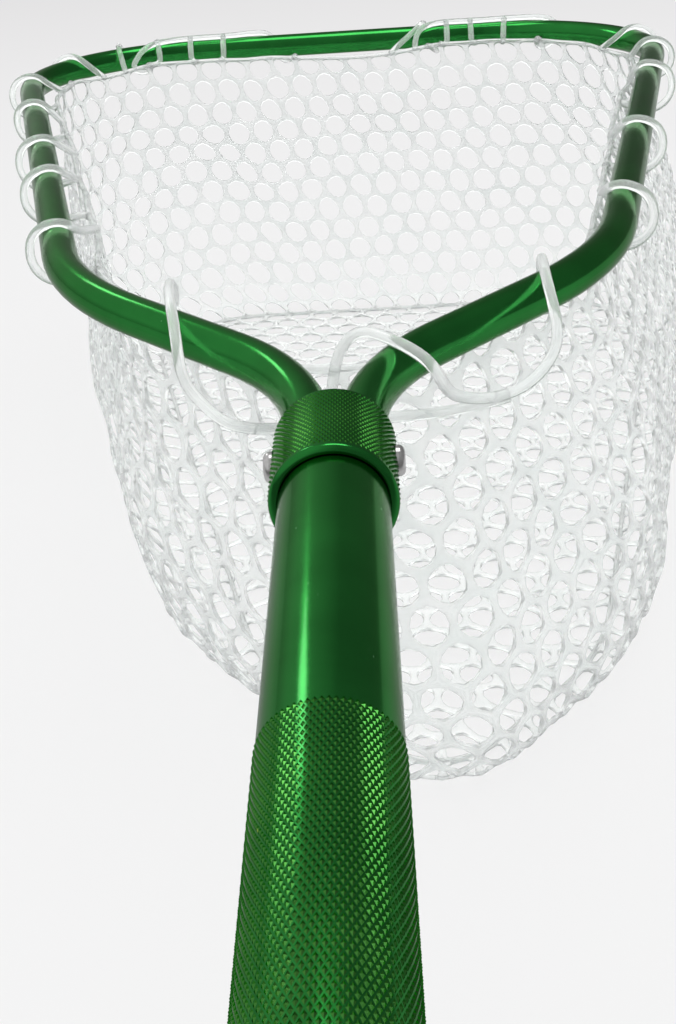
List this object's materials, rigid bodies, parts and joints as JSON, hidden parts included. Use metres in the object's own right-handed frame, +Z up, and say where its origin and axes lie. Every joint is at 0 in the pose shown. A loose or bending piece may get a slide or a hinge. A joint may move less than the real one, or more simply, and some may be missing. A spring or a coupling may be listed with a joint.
{
  "type": "landing net",
  "caption": "Hand landing net: tube hoop on a knurled collar, screw-in tube handle with knurled grip, deep open rubber mesh bag looped round the hoop.",
  "frame": {"origin": "middle of the net's flat resting face, under the middle of the whole length", "axes": "+Y along the handle from the butt to the hoop, +Z up out of the net's mouth, +X to the right seen from the butt"},
  "size_m": [0.449, 1.1162, 0.2236],
  "materials": {
    "anodised_tube": "gloss",
    "anodised_knurl": "satin",
    "plain_aluminium": "satin",
    "screw_steel": "satin",
    "seal_rubber": "matte",
    "net_rubber": "satin"
  },
  "bodies": {
    "head": {"hoop_tube": "anodised_tube", "hoop_plug_right": "plain_aluminium", "hoop_plug_left": "plain_aluminium", "collar": "anodised_knurl", "collar_screw_right": "screw_steel", "collar_screw_left": "screw_steel", "net_bag": "net_rubber", "net_rim_loops": "net_rubber"},
    "handle_seal": {"spigot_o_ring": "seal_rubber"},
    "handle": {"handle_tube": "anodised_tube", "handle_spigot": "plain_aluminium", "butt_insert": "plain_aluminium"},
    "cap_seal": {"butt_o_ring": "seal_rubber"},
    "cap": {"butt_cap": "anodised_tube"}
  },
  "joints": [
    {"name": "handle_feed", "type": "slide", "parent": "head", "child": "handle_seal", "axis": [0, -1, 0], "range_m": [0, 0.00905]},
    {"name": "handle_turn", "type": "hinge", "parent": "handle_seal", "child": "handle", "pos_m": [0, -0.19224, 0.205], "axis": [0, -1, 0], "range_deg": [0, 2160]},
    {"name": "cap_feed", "type": "slide", "parent": "handle", "child": "cap_seal", "axis": [0, -1, 0], "range_m": [0, 0.00755]},
    {"name": "cap_turn", "type": "hinge", "parent": "cap_seal", "child": "cap", "pos_m": [0, -0.53904, 0.205], "axis": [0, -1, 0], "range_deg": [0, 2160]}
  ],
  "couplings": [
    {"joint": "handle_feed", "follows": "handle_turn", "m_per_rad": 0.00023873},
    {"joint": "cap_feed", "follows": "cap_turn", "m_per_rad": 0.00019894}
  ]
}
